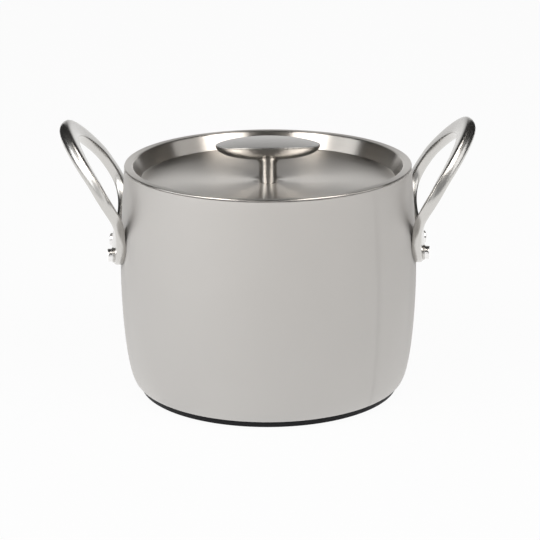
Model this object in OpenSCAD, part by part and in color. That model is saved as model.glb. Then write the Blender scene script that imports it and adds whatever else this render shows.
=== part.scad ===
// Two-handled casserole with a loose drop-in lid.
// The origin is on the table under the middle of the pot, +Z is up, and the handles point along +X and -X.

/* [Pot] */
// Diameter over the lip
rim_d = 200; // [160:1:260]
// Height of the lip above the table
lip_z = 160.6; // [140:0.1:200]
// How far the widest part of the wall stands out beyond the lip
belly_out = 4.1; // [1:0.1:8]
// Height of the widest part of the wall
belly_z = 80; // [60:1:100]
// Inward slope of the wall at the lip, degrees
lip_slope = 4.3; // [1:0.1:8]
// How far the crisp edge of the underside lies inside the lip
sole_in = 6.4; // [3:0.1:12]
// Slope of the rounded corner where it leaves that edge, degrees
sole_slope = 22.8; // [10:0.1:45]
// Pull of the corner's curve along that slope
sole_pull = 9.1; // [4:0.1:14]
// Pull of the belly's curve downwards
belly_pull = 16; // [8:0.5:30]
// Thickness of the wall
wall_t = 1.5; // [1:0.1:3]
// Thickness of the floor
floor_t = 1.5; // [1:0.1:4]

/* [Base] */
// Height of the sandwich base under the floor
base_h = 4.6; // [3:0.1:8]
// How far the base cap lies inside the underside's edge
base_in = 2.2; // [1:0.1:10]
// Thickness of the base cap's sheet
cap_t = 0.8; // [0.5:0.1:1.2]
// Clearance between the core's edge and the cap
core_fit = 0.2; // [0.1:0.05:0.5]
// Bevel round the foot of the base cap
cap_bevel = 0.6; // [0.2:0.1:0.7]

/* [Lid] */
// Thickness of the lid's sheet
lid_t = 1; // [0.6:0.1:1.6]
// Gap between the lip and the lid's flange
lid_gap = 0.3; // [0.2:0.05:0.6]
// Width of the flat flange
flange_w = 5.8; // [5:0.1:12]
// Depth of the sunk floor's edge below the flange
lid_depth = 10.9; // [6:0.1:20]
// How far the conical wall runs inwards on its way down
lid_wall_in = 5.4; // [2:0.1:10]
// Extra depth of the middle of the floor
lid_dish = 1.4; // [0.5:0.1:4]
// Radius of the flat seat under the knob
seat_r = 17; // [15:0.5:25]

/* [Knob] */
// Length of the oval top, from handle side to handle side
knob_w = 73; // [50:0.5:100]
// Depth of the oval top, from front to back
knob_depth = 37; // [34:0.2:50]
// Height of the top's middle above the lid's floor
knob_h = 28; // [24:0.5:45]
// Radius of the domed top
dome_r = 230; // [150:5:400]
// Thickness of the bowl-shaped top at its middle
bowl_t = 12.9; // [10:0.1:16]
// Width of the post
post_w = 12.9; // [10:0.1:20]
// Depth of the post
post_depth = 24; // [14:0.5:27]
// Squareness of the post's plan: 2 is an ellipse, more is squarer
post_square = 2.5; // [2:0.1:5]
// Fillet between the post and the bowl
post_fillet = 3.6; // [1:0.1:3.8]

/* [Knob screw] */
// Diameter of the screw's shank
screw_d = 5; // [3:0.5:6]
// Length of the shank inside the post
screw_grip = 10; // [5:0.5:13]
// Diameter of the screw's head
screw_head_d = 9.5; // [7:0.1:12]
// Height of the screw's head
screw_head_h = 2.8; // [2.4:0.1:4]
// Width across the flats of the screw's socket
socket_af = 3; // [2:0.5:4]
// Depth of the socket
socket_depth = 1.6; // [1:0.1:2]
// Outer diameter of the washer
washer_d = 15; // [13:0.5:24]
// Thickness of the washer
washer_t = 1; // [0.5:0.1:2]
// Clearance round the shank in the post, the lid and the washer
screw_fit = 0.15; // [0.1:0.05:0.4]

/* [Handle loop] */
// Height of the foot plate's lower edge above the table
handle_z = 93.5; // [85:0.5:105]
// Width over the loop
loop_w = 104; // [90:0.5:130]
// Length of the handle along its face, from the plate's lower edge to the top of the loop
loop_len = 109; // [90:0.1:130]
// Distance of the widest place from the plate's lower edge, along the face
wide_len = 55; // [50:0.1:64]
// Width of a leg across its face, at the widest place
leg_w = 9.1; // [7:0.1:15]
// Width of the bow across its face, at the top of the loop
bow_w = 14.4; // [7:0.1:18]
// Depth of the legs behind their face
leg_t = 8; // [5:0.1:10]
// Depth of the bow behind its face
bow_t = 10.4; // [6:0.1:13]
// Height of the face's middle over its rolled outer edge, at the top of the loop
bow_crown = 3.8; // [0.5:0.1:5]
// Height of the same face's middle over its rolled edges, at the widest place
leg_crown = 1; // [0.5:0.1:4]
// Lean of the loop outwards, degrees
lean = 32.4; // [15:0.1:40]
// Radius of the bend between the plate and the loop
bend_r = 99; // [30:1:120]
// Height above the plate's lower edge at which the bend starts
bend_start = 13; // [12:0.5:24]
// Part of the wall's roundness that the loop's face keeps at its top
loop_round = 0.24; // [0:0.01:1]
// Roundness of the back of the section: 2 is an ellipse, more is squarer
back_square = 2; // [2:0.1:4]
// Pull of the bow's curves towards the sides
bow_pull = 0.5; // [0.3:0.01:0.75]
// Pull of the shoulders' curves towards the top
shoulder_pull = 0.42; // [0.1:0.01:0.6]
// Pull of the legs' outer curves towards the plate
leg_pull = 0.54; // [0.35:0.01:0.7]

/* [Foot plate] */
// Width of the foot plate
plate_w = 64.6; // [60:0.2:90]
// Thickness of the foot plate
plate_t = 6.1; // [4:0.1:7]
// Width of the plate's rounded lower corners
corner_w = 18.4; // [8:0.1:24]
// Height of the plate's rounded lower corners
corner_h = 17.9; // [8:0.1:20]
// Height of the opening's lower end above the plate's lower edge
eye_z = 20.5; // [18:0.5:24]
// Gap between the plate and the wall
plate_gap = 0.15; // [0.1:0.05:0.4]

/* [Rivets] */
// Distance between a handle's two rivets
rivet_gap = 38.6; // [28:0.2:44]
// Height of the rivets above the plate's lower edge
rivet_up = 8; // [7:0.5:10]
// Diameter of a rivet's shank
rivet_d = 5; // [4:0.1:6]
// Diameter of the outer head
head_d = 9.3; // [7:0.1:11]
// Height of the outer head
head_h = 3.2; // [2:0.1:5]
// Chamfer round the outer head
head_chamfer = 0.6; // [0.3:0.1:1]
// Diameter of the seat that carries the head
boss_d = 10.5; // [9:0.1:13]
// Height of that seat above the plate
boss_h = 0.6; // [0.4:0.1:1.5]
// Diameter of the inner head
inner_head_d = 11; // [8:0.1:13]
// Height of the inner head
inner_head_h = 1.4; // [1:0.1:2.5]
// Gap between the inner head and the round inside of the wall
inner_gap = 0.35; // [0.25:0.05:0.6]
// Clearance round the shank in the plate and the wall
rivet_fit = 0.1; // [0.05:0.05:0.3]

/* [Hidden] */
$fn = 96;
pass = 1;

// Point on a cubic curve with end points a and d and pull points b and c
function bez(a, b, c, d, t) =
    pow(1 - t, 3) * a + 3 * pow(1 - t, 2) * t * b + 3 * (1 - t) * t * t * c + pow(t, 3) * d;

// The pot's wall
rim_r = rim_d / 2;
belly_r = rim_r + belly_out;
sole_r = rim_r - sole_in;
floor_z = base_h + floor_t;
low_steps = 24;
high_steps = 20;

// Lower part of the wall, from its bottom edge [r, z] up to the belly, set in from the outside by t_in
function low_wall(edge, t_in, t) =
    bez(edge, edge + sole_pull * [cos(sole_slope), sin(sole_slope)],
        [belly_r - t_in, belly_z - belly_pull], [belly_r - t_in, belly_z], t);

// Radius of the upper part of the wall at height z
function high_wall_r(z) =
    let (t = (z - belly_z) / (lip_z - belly_z))
    bez(belly_r, belly_r, rim_r + tan(lip_slope) * (lip_z - belly_z) / 3, rim_r, t);

// Place along the lower wall that lies at height z, found by halving
function low_place(z, low = 0, high = 1, turns = 24) =
    let (mid = (low + high) / 2)
    turns == 0 ? mid
    : low_wall([sole_r, base_h], 0, mid)[1] < z ? low_place(z, mid, high, turns - 1)
    : low_place(z, low, mid, turns - 1);

// Outer radius of the wall at height z, and its slope in degrees
function wall_r(z) = z >= belly_z ? high_wall_r(z) : low_wall([sole_r, base_h], 0, low_place(z))[0];
slope_step = 0.5;
function wall_slope(z) = atan((wall_r(z + slope_step) - wall_r(z - slope_step)) / (2 * slope_step));

function wall_side(edge, t_in) = concat(
    [for (i = [0 : low_steps - 1]) low_wall(edge, t_in, i / low_steps)],
    [for (i = [0 : high_steps])
        let (z = belly_z + (lip_z - belly_z) * i / high_steps) [high_wall_r(z) - t_in, z]]);
function reversed(list) = [for (i = [len(list) - 1 : -1 : 0]) list[i]];

// The base under the floor
base_r = sole_r - base_in;
core_r = base_r - cap_t - core_fit;

// The lid
lid_bottom_z = lip_z + lid_gap;
lid_z = lid_bottom_z + lid_t;
flange_r = rim_r - flange_w;
lid_floor_r = flange_r - lid_wall_in;
lid_edge_z = lid_z - lid_depth;
lid_seat_z = lid_edge_z - lid_dish;
lid_corner = lid_t * tan(atan2(lid_depth, lid_wall_in) / 2);

// The knob and its screw
knob_z = lid_seat_z + knob_h;
knob_turns = 48;
post_steps = 4;
fillet_steps = 5;
bowl_steps = 10;
dome_steps = 5;
screw_hole_d = screw_d + 2 * screw_fit;
washer_z = lid_seat_z - lid_t - washer_t;
screw_top_z = lid_seat_z + screw_grip;
hole_bottom = 1;

// Radius of the oval top, and of the post, in the direction a
function oval_r(a) = 1 / norm([cos(a) / (knob_w / 2), sin(a) / (knob_depth / 2)]);
function post_r(a) =
    pow(pow(abs(cos(a)) / (post_w / 2), post_square) + pow(abs(sin(a)) / (post_depth / 2), post_square),
        -1 / post_square);
function dome_z(r) = knob_z - r * r / (2 * dome_r);
function bowl_z(a, r) = dome_z(r) - bowl_t * sqrt(max(0, 1 - pow(r / oval_r(a), 2)));

// Profile of the knob in the direction a, from the edge of its foot to the edge of the middle of its top
function knob_side(a) =
    let (p = post_r(a), o = oval_r(a), f = post_fillet, z_fillet = bowl_z(a, p + f) - f) concat(
        [for (i = [0 : post_steps - 1]) [p, lid_seat_z + (z_fillet - lid_seat_z) * i / post_steps]],
        [for (i = [0 : fillet_steps - 1])
            let (b = 90 * i / fillet_steps) [p + f * (1 - cos(b)), z_fillet + f * sin(b)]],
        [for (i = [0 : bowl_steps])
            let (r = p + f + (o - p - f) * sin(90 * i / bowl_steps)) [r, bowl_z(a, r)]],
        [for (i = [1 : dome_steps - 1]) let (r = o * (1 - i / dome_steps)) [r, dome_z(r)]]);

// The handle's face: a strip that lies on the wall, bends outwards and leans away from the pot
bend_z = handle_z + bend_start;
bend_from = wall_slope(bend_z);
bend_x = wall_r(bend_z) + plate_gap;
bend_len = bend_r * (lean - bend_from) * PI / 180;
round_len = 52;

// Point [x, z, slope] of the face's middle line at the length h from the plate's lower edge
function face_line(h) =
    let (along = h - bend_start, a = bend_from + min(max(along, 0), bend_len) / bend_r * 180 / PI,
         rest = max(along - bend_len, 0))
    along <= 0 ? [wall_r(handle_z + h) + plate_gap, handle_z + h, wall_slope(handle_z + h)]
    : [bend_x + bend_r * (cos(bend_from) - cos(a)) + rest * sin(a),
       bend_z + bend_r * (sin(a) - sin(bend_from)) + rest * cos(a), a];

// A change from 0 to 1 that starts and ends gently
function ease(share) = let (u = min(max(share, 0), 1)) u * u * (3 - 2 * u);

// Radius of the face in plan: the wall's own on the plate, flatter towards the top of the loop
function face_r(h) =
    face_line(min(h, bend_start))[0] / (1 + (loop_round - 1) * ease((h - bend_start) / round_len));

// Point of the casting at the width w and the length h of the face, and at the depth t behind it
function face_point(w, h, t) =
    let (line = face_line(h), r = face_r(h), turn = asin(w / r))
    [line[0] - r * (1 - cos(turn)) + t * cos(line[2]) * cos(turn),
     w + t * sin(turn),
     line[1] - t * sin(line[2])];

// Outer and inner outline of half the loop on that face, [width, length], from the top to the plate
loop_r = loop_w / 2;
eye_r = loop_r - leg_w;
eye_len = loop_len - bow_w;
plate_r = plate_w / 2;
bow_steps = 14;
leg_steps = 10;
foot_steps = 9;
half_steps = bow_steps + leg_steps + foot_steps;
corner_share = 0.6;
plate_pull = 0.4;
eye_side_pull = 0.4;
eye_foot_pull = 0.58;
eye_share = 0.75;

function bow(r, top, t) =
    bez([0, top], [bow_pull * r, top], [r, wide_len + shoulder_pull * (top - wide_len)], [r, wide_len], t);
function plate_corner(t) =
    let (a = 90 * min(t / corner_share, 1), flat = max(t - corner_share, 0) / (1 - corner_share))
    [(plate_r - corner_w + corner_w * cos(a)) * (1 - flat), corner_h * (1 - sin(a))];
function outer_leg(t) =
    let (drop = wide_len - corner_h)
    bez([loop_r, wide_len], [loop_r, wide_len - leg_pull * drop], [plate_r, corner_h + plate_pull * drop],
        [plate_r, corner_h], t);
function inner_leg(t) =
    bez([eye_r, wide_len], [eye_r, wide_len - eye_side_pull * (wide_len - eye_z)],
        [eye_foot_pull * eye_r, eye_z], [0, eye_z], t);
function outer_outline(i) =
    i < bow_steps ? bow(loop_r, loop_len, i / bow_steps)
    : i < bow_steps + leg_steps ? outer_leg((i - bow_steps) / leg_steps)
    : plate_corner((i - bow_steps - leg_steps) / foot_steps);
function inner_outline(i) =
    i < bow_steps ? bow(eye_r, eye_len, i / bow_steps)
    : i < bow_steps + leg_steps ? inner_leg(eye_share * (i - bow_steps) / leg_steps)
    : inner_leg(eye_share + (1 - eye_share) * (i - bow_steps - leg_steps) / foot_steps);

// Section of the casting at the step i: the face on the pot's side with its rolled edges, then the round back
plate_square = 3;
face_square = 3;
face_parts = 6;
back_parts = 9;
function bow_share(i) = ease(i / bow_steps);
function foot_share(i) = ease((i - bow_steps) / leg_steps);
function depth_at(i) =
    bow_t + (leg_t - bow_t) * bow_share(i) + (plate_t - leg_t) * foot_share(i);
function crown_at(i, e) =
    (leg_crown + (bow_crown - leg_crown) * (1 - bow_share(i)) * e) * (1 - foot_share(i));
function square_at(i) = back_square + plate_square * foot_share(i);
function arch(e, square) = pow(1 - pow(abs(2 * e - 1), square), 1 / square);
function face_depth(i, e) = crown_at(i, e) * (1 - arch(e, face_square));
function back_depth(i, e) =
    let (edge = crown_at(i, e)) edge + (depth_at(i) - edge) * arch(e, square_at(i));
function across(i, side, e, t) =
    let (p = inner_outline(i) + (outer_outline(i) - inner_outline(i)) * e) face_point(side * p[0], p[1], t);
function section(i, side) = concat(
    [for (k = [0 : face_parts])
        let (e = (1 - cos(180 * k / face_parts)) / 2) across(i, side, e, face_depth(i, e))],
    [for (k = [1 : back_parts - 1])
        let (e = (1 + cos(180 * k / back_parts)) / 2) across(i, side, e, back_depth(i, e))]);

// The rivets
rivet_z = handle_z + rivet_up;
rivet_wall_r = wall_r(rivet_z);
boss_r = rivet_wall_r + plate_gap + plate_t + boss_h;
rivet_turn = asin(rivet_gap / 2 / boss_r);
rivet_hole_d = rivet_d + 2 * rivet_fit;
inner_head_r = rivet_wall_r - wall_t - inner_gap;

// Closed skin over rings of points: the rings follow each other round a loop
module ring_loop(rings) {
    n = len(rings);
    m = len(rings[0]);
    polyhedron(
        points = [for (ring = rings) each ring],
        faces = [for (i = [0 : n - 1], k = [0 : m - 1])
            let (j = (i + 1) % n, l = (k + 1) % m)
            each [[i * m + k, j * m + k, j * m + l], [i * m + k, j * m + l, i * m + l]]]);
}

// Closed skin over columns of points set round the Z axis, with a flat foot and a point on top
module turned_skin(columns, foot, top) {
    n = len(columns);
    m = len(columns[0]);
    polyhedron(
        points = concat([foot, top], [for (column = columns) each column]),
        faces = [for (i = [0 : n - 1]) let (j = (i + 1) % n, a = 2 + i * m, b = 2 + j * m) each concat(
            [[0, a, b], [1, b + m - 1, a + m - 1]],
            [for (k = [0 : m - 2]) each [[a + k, a + k + 1, b + k + 1], [a + k, b + k + 1, b + k]]])]);
}

// Children are set on the axis of each rivet of the handle on +X, with +Z pointing away from the pot
module at_rivets() {
    for (side = [-1, 1])
        rotate([0, 0, side * rivet_turn])
            translate([0, 0, rivet_z])
                rotate([0, 90, 0])
                    children();
}

module rivet_holes() {
    at_rivets()
        translate([0, 0, inner_head_r - inner_head_h])
            cylinder(d = rivet_hole_d, h = boss_r + head_h - inner_head_r + inner_head_h);
}

module handle() {
    rings = concat(
        [for (i = [0 : half_steps]) section(i, 1)],
        [for (i = [half_steps - 1 : -1 : 1]) section(i, -1)]);
    difference() {
        union() {
            ring_loop(rings);
            at_rivets()
                translate([0, 0, boss_r - boss_h - plate_t / 2])
                    cylinder(d = boss_d, h = boss_h + plate_t / 2);
        }
        rivet_holes();
    }
}

module rivets() {
    at_rivets()
        rotate_extrude()
            polygon([
                [0, inner_head_r - inner_head_h],
                [inner_head_d / 2 - inner_head_h / 2, inner_head_r - inner_head_h],
                [inner_head_d / 2, inner_head_r - inner_head_h / 2],
                [inner_head_d / 2, inner_head_r],
                [rivet_d / 2, inner_head_r],
                [rivet_d / 2, boss_r],
                [head_d / 2, boss_r],
                [head_d / 2, boss_r + head_h - head_chamfer],
                [head_d / 2 - head_chamfer, boss_r + head_h],
                [0, boss_r + head_h]]);
}

module pot_body() {
    color("#BEB8B1")
    difference() {
        rotate_extrude()
            polygon(concat(
                [[0, base_h]],
                wall_side([sole_r, base_h], 0),
                reversed(wall_side([sole_r - wall_t, floor_z], wall_t)),
                [[0, floor_z]]));
        rivet_holes();
        mirror([1, 0, 0]) rivet_holes();
    }
}

module base_core() {
    color("#C9CBCD")
    translate([0, 0, cap_t])
        cylinder(r = core_r, h = base_h - cap_t);
}

module base_plate() {
    color("#2B2B2D")
    rotate_extrude()
        polygon([
            [0, 0],
            [base_r - cap_bevel, 0],
            [base_r, cap_bevel],
            [base_r, base_h],
            [base_r - cap_t, base_h],
            [base_r - cap_t, cap_t],
            [0, cap_t]]);
}

module right_handle() {
    color("#C8C6C3") handle();
}

module left_handle() {
    color("#C8C6C3") mirror([1, 0, 0]) handle();
}

module right_rivets() {
    color("#D6D5D3") rivets();
}

module left_rivets() {
    color("#D6D5D3") mirror([1, 0, 0]) rivets();
}

module lid_pan() {
    color("#B4B1AC")
    rotate_extrude()
        polygon([
            [screw_hole_d / 2, lid_seat_z],
            [seat_r, lid_seat_z],
            [lid_floor_r, lid_edge_z],
            [flange_r, lid_z],
            [rim_r, lid_z],
            [rim_r, lid_bottom_z],
            [flange_r + lid_corner, lid_bottom_z],
            [lid_floor_r + lid_corner, lid_edge_z - lid_t],
            [seat_r, lid_seat_z - lid_t],
            [screw_hole_d / 2, lid_seat_z - lid_t]]);
}

module lid_knob() {
    columns = [for (i = [0 : knob_turns - 1])
        let (a = 360 * i / knob_turns) [for (p = knob_side(a)) [p[0] * cos(a), p[0] * sin(a), p[1]]]];
    color("#B9B7B4")
    difference() {
        turned_skin(columns, [0, 0, lid_seat_z], [0, 0, knob_z]);
        translate([0, 0, lid_seat_z - pass])
            cylinder(d = screw_hole_d, h = screw_grip + hole_bottom + pass);
    }
}

module knob_washer() {
    color("#CFCFCF")
    difference() {
        translate([0, 0, washer_z]) cylinder(d = washer_d, h = washer_t);
        translate([0, 0, washer_z - pass]) cylinder(d = screw_hole_d, h = washer_t + 2 * pass);
    }
}

module knob_screw() {
    color("#CFCFCF")
    difference() {
        union() {
            translate([0, 0, washer_z]) cylinder(d = screw_d, h = screw_top_z - washer_z);
            translate([0, 0, washer_z - screw_head_h]) cylinder(d = screw_head_d, h = screw_head_h);
        }
        translate([0, 0, washer_z - screw_head_h - pass])
            cylinder(d = socket_af / cos(30), h = socket_depth + pass, $fn = 6);
    }
}

pot_body();
base_core();
base_plate();
left_handle();
right_handle();
left_rivets();
right_rivets();
lid_pan();
lid_knob();
knob_screw();
knob_washer();
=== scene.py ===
# %% [markdown]
# # A two-handled casserole with a drop-in lid
# The real object is a deep drawn steel pot on a sandwich base, with two cast loop handles riveted to its
# sides. A pressed lid drops into the mouth and carries a cast knob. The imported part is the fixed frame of
# this lesson: every piece is built in metres in that same frame, so it goes straight to its place and
# nothing is fitted afterwards.

# %% Load the fixed frame
import math

import bmesh
import bpy
import numpy as np
from mathutils import Matrix, Vector


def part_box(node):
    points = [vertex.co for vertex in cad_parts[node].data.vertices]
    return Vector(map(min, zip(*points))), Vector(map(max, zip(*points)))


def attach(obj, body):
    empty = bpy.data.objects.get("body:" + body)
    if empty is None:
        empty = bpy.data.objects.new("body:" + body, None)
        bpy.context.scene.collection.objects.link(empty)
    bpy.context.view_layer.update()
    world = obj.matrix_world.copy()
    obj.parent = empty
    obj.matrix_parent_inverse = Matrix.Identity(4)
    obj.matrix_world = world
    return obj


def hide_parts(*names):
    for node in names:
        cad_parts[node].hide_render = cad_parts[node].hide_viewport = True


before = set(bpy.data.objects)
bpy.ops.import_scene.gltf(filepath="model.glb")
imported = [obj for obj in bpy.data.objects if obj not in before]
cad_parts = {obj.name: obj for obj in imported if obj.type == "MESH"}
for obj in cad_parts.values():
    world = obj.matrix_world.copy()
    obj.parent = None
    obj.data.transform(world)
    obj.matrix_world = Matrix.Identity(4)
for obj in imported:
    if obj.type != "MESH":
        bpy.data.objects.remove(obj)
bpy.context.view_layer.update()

MM = 0.001

# %% [markdown]
# ## Outlines
# Most of this object is turned or pressed, so its shape is an outline of distances from the axis and
# heights. Soft stretches are cubic curves with two pull points, as in a drawing program. Corners of sheet
# metal are never knife sharp, so a second helper swaps each corner for an arc, with a point held just
# outside the arc on either side. The held points keep the shading of the flat faces flat.

# %% Curves and rounded corners
def cubic(a, b, c, d, t):
    """Points at the places t on the curve that leaves a towards b and reaches d from c."""
    a, b, c, d = (np.asarray(point, float) for point in (a, b, c, d))
    t = np.asarray(t, float)[:, None]
    return (1 - t) ** 3 * a + 3 * (1 - t) ** 2 * t * b + 3 * (1 - t) * t ** 2 * c + t ** 3 * d


def rounded(corners, arc_steps=6, hold=0.6):
    """Outline through corners (r, z, radius), each corner swapped for an arc of its radius."""
    points = []
    for i, (r, z, radius) in enumerate(corners):
        here = Vector((r, z))
        if radius == 0:
            points.append(here)
            continue
        before = (Vector(corners[i - 1][:2]) - here).normalized()
        after = (Vector(corners[(i + 1) % len(corners)][:2]) - here).normalized()
        half = before.angle(after) / 2
        back = radius / math.tan(half)
        centre = here + (before + after).normalized() * radius / math.sin(half)
        start = here + before * back - centre
        end = here + after * back - centre
        points.append(here + before * back * (1 + hold))
        for k in range(arc_steps + 1):
            points.append(centre + start.lerp(end, k / arc_steps).normalized() * radius)
        points.append(here + after * back * (1 + hold))
    return [tuple(point) for point in points]


print("a square corner of 1 mm radius has", len(rounded([(0, 0, 0), (5, 0, 1), (5, 5, 0)])), "points")

# %% [markdown]
# ## Finishes
# Every surface here is metal, but for one thin coat, so the finishes differ mainly in colour, in how fine
# the polish is and in which way it was brushed. Each is a node tree that reads Object coordinates in
# metres: noise stretched along the brushing gives streaks, and the streaks drive the roughness, a slight
# change of colour and a very shallow bump. A small helper adds a node and fills its inputs with values or
# with other nodes' outputs, so that each finish stays short.

# %% Helper that adds and feeds a node
def node(tree, kind, inputs=None, **settings):
    """Adds a node, sets its options, and feeds each input a value or another node's output."""
    made = tree.nodes.new(kind)
    for name, value in settings.items():
        setattr(made, name, value)
    for name, value in (inputs or {}).items():
        if isinstance(value, bpy.types.NodeSocket):
            tree.links.new(value, made.inputs[name])
        else:
            made.inputs[name].default_value = value
    return made


def maths(tree, operation, a, b=0.0):
    return node(tree, "ShaderNodeMath", {0: a, 1: b}, operation=operation).outputs[0]


def span(tree, value, low, high, new_low, new_high):
    """Stretches a value from one range to another, and holds it there."""
    limits = {"From Min": low, "From Max": high, "To Min": new_low, "To Max": new_high}
    return node(tree, "ShaderNodeMapRange", {"Value": value, **limits}).outputs["Result"]


print("node helpers ready")

# %% [markdown]
# A metal finish is always the same few steps: a pattern between 0 and 1 is turned into a colour between two
# close tones, into a roughness between two values and into a bump. Only the pattern and the numbers differ,
# so those steps are one function. The strength of the brushing's stretch is the same all over, so it sits
# on the shader itself.

# %% Steps that all metal finishes share
def metal_finish(name, tones, polish, bump_height, pattern, stretch=0.0, stretch_along=None, metal=1.0):
    """Metal whose colour, roughness and bump follow pattern(tree, coordinates), from 0 to 1."""
    finish = bpy.data.materials.new(name)
    finish.use_nodes = True
    tree = finish.node_tree
    shader = tree.nodes["Principled BSDF"]
    place = node(tree, "ShaderNodeTexCoord").outputs["Object"]
    streak = pattern(tree, place)
    ramp = node(tree, "ShaderNodeValToRGB", {"Fac": streak})
    ramp.color_ramp.elements[0].color = (*tones[0], 1)
    ramp.color_ramp.elements[1].color = (*tones[1], 1)
    bump = node(tree, "ShaderNodeBump", {"Height": streak, "Strength": 1.0, "Distance": bump_height})
    tree.links.new(ramp.outputs["Color"], shader.inputs["Base Color"])
    tree.links.new(span(tree, streak, 0, 1, *polish), shader.inputs["Roughness"])
    tree.links.new(bump.outputs["Normal"], shader.inputs["Normal"])
    shader.inputs["Metallic"].default_value = metal
    shader.inputs["Anisotropic"].default_value = stretch
    if stretch_along:
        tree.links.new(stretch_along(tree, place), shader.inputs["Tangent"])
    print("finish:", name)
    return finish


def noise(tree, vector, scale, detail=3.0, sharpness=0.55):
    values = {"Vector": vector, "Scale": scale, "Detail": detail, "Roughness": sharpness}
    return node(tree, "ShaderNodeTexNoise", values).outputs["Fac"]


def stretched(tree, place, scale):
    """Coordinates squeezed along some axes, which draws any pattern out along them."""
    return node(tree, "ShaderNodeMapping", {"Vector": place, "Scale": scale}).outputs["Vector"]


print("metal steps ready")

# %% [markdown]
# The lid is brushed in rings round its middle. Polar coordinates make a noise do the same: the distance
# from the axis and the height change fast and the angle slowly, so each grain is drawn out into an arc.
# Brushed metal also spreads its highlights across the strokes. The Anisotropic and Tangent inputs of the
# shader add that fan of light.

# %% Finish of the lid
def round_the_axis(tree, place, rings_per_metre, turns):
    """Coordinates that draw a noise out into rings round the Z axis."""
    flat = node(tree, "ShaderNodeSeparateXYZ", {"Vector": place}).outputs
    level = node(tree, "ShaderNodeCombineXYZ", {"X": flat["X"], "Y": flat["Y"]}).outputs["Vector"]
    radius = node(tree, "ShaderNodeVectorMath", {0: level}, operation="LENGTH").outputs["Value"]
    angle = maths(tree, "ARCTAN2", flat["Y"], flat["X"])
    ring = maths(tree, "MULTIPLY", radius, rings_per_metre)
    height = maths(tree, "MULTIPLY", flat["Z"], rings_per_metre)
    around = maths(tree, "MULTIPLY", angle, turns)
    return node(tree, "ShaderNodeCombineXYZ", {"X": ring, "Y": around, "Z": height}).outputs["Vector"]


def blend(tree, first, second, share):
    """The first value, with a share of the second mixed in."""
    rest = maths(tree, "SUBTRACT", 1.0, share)
    return maths(tree, "ADD", maths(tree, "MULTIPLY", first, rest), maths(tree, "MULTIPLY", second, share))


def ring_streaks(tree, place):
    fine = noise(tree, round_the_axis(tree, place, rings_per_metre=3000, turns=3.0), scale=1.0)
    broad = noise(tree, round_the_axis(tree, place, rings_per_metre=420, turns=1.2), scale=1.0)
    return blend(tree, fine, broad, share=0.4)


def outwards(tree, place):
    """Direction away from the axis, across the ring-shaped brush strokes."""
    flat = node(tree, "ShaderNodeVectorMath", {0: place, 1: (1, 1, 0)}, operation="MULTIPLY")
    unit = node(tree, "ShaderNodeVectorMath", {0: flat.outputs["Vector"]}, operation="NORMALIZE")
    return unit.outputs["Vector"]


ring_brushed_steel = metal_finish(
    "ring_brushed_steel", tones=[(0.57, 0.545, 0.51), (0.67, 0.64, 0.6)], polish=(0.25, 0.33),
    bump_height=0.004 * MM, pattern=ring_streaks, stretch=0.93, stretch_along=outwards)

# %% [markdown]
# The pot is one sheet with two finishes: the outside is blasted with fine beads and the inside is brushed
# in rings. A mesh attribute named inside, which the pot's own cell fills in, chooses between the two
# patterns. The blasted grain takes the rough end of the range and the brush strokes take the smoother end.

# %% Finish of the pot
BLASTED, BRUSHED = (0.86, 1.0), (0.0, 0.3)


def blasted_or_brushed(tree, place):
    grain = noise(tree, place, scale=2600)
    blasted = blend(tree, grain, noise(tree, place, scale=38, detail=2.0), share=0.3)
    inside = node(tree, "ShaderNodeAttribute", attribute_name="inside").outputs["Fac"]
    outer = span(tree, blasted, 0, 1, *BLASTED)
    inner = span(tree, ring_streaks(tree, place), 0, 1, *BRUSHED)
    return blend(tree, outer, inner, inside)


blasted_steel = metal_finish(
    "blasted_steel", tones=[(0.56, 0.548, 0.533), (0.605, 0.593, 0.578)], polish=(0.3, 0.86),
    bump_height=0.028 * MM, pattern=blasted_or_brushed)

# %% [markdown]
# The knob is brushed from end to end, so its noise is stretched along X and its highlights spread along Y.

# %% Finish of the knob
def long_streaks(tree, place):
    return noise(tree, stretched(tree, place, (60, 2600, 2600)), scale=1.0)


def front_to_back(tree, place):
    return node(tree, "ShaderNodeCombineXYZ", {"Y": 1.0}).outputs["Vector"]


long_brushed_steel = metal_finish(
    "long_brushed_steel", tones=[(0.58, 0.57, 0.55), (0.66, 0.645, 0.625)], polish=(0.2, 0.3),
    bump_height=0.003 * MM, pattern=long_streaks, stretch=0.5, stretch_along=front_to_back)

# %% [markdown]
# The handles are polished castings. Their streaks are short and faint and follow no clear direction, and
# their bump is the shallowest of all, because a polished surface shows every ripple in its reflections.

# %% Finish of the handles
def cast_streaks(tree, place):
    fine = noise(tree, stretched(tree, place, (900, 900, 260)), scale=1.0)
    return blend(tree, fine, noise(tree, place, scale=60, detail=2.0), share=0.4)


cast_polished_steel = metal_finish(
    "cast_polished_steel", tones=[(0.5, 0.488, 0.468), (0.57, 0.556, 0.533)], polish=(0.21, 0.28),
    bump_height=0.001 * MM, pattern=cast_streaks)

# %% [markdown]
# Rivets, screw and washer carry only fine scratches. The hidden aluminium core shows the rings of its
# rolling and cutting. The base cap wears a black coat that stands the heat. Its near-black tone is partly
# painted shade, the shadow under the pot. A coat isn't metal, so its shader's Metallic is 0. Its mirror
# level is turned down, partly for a matt coat and partly as painted shade, because the paper under the pot
# shows shiny surfaces no shadow.

# %% Finishes of the small parts and of the base
def fine_scratches(tree, place):
    return noise(tree, place, scale=1800, detail=4.0)


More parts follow.
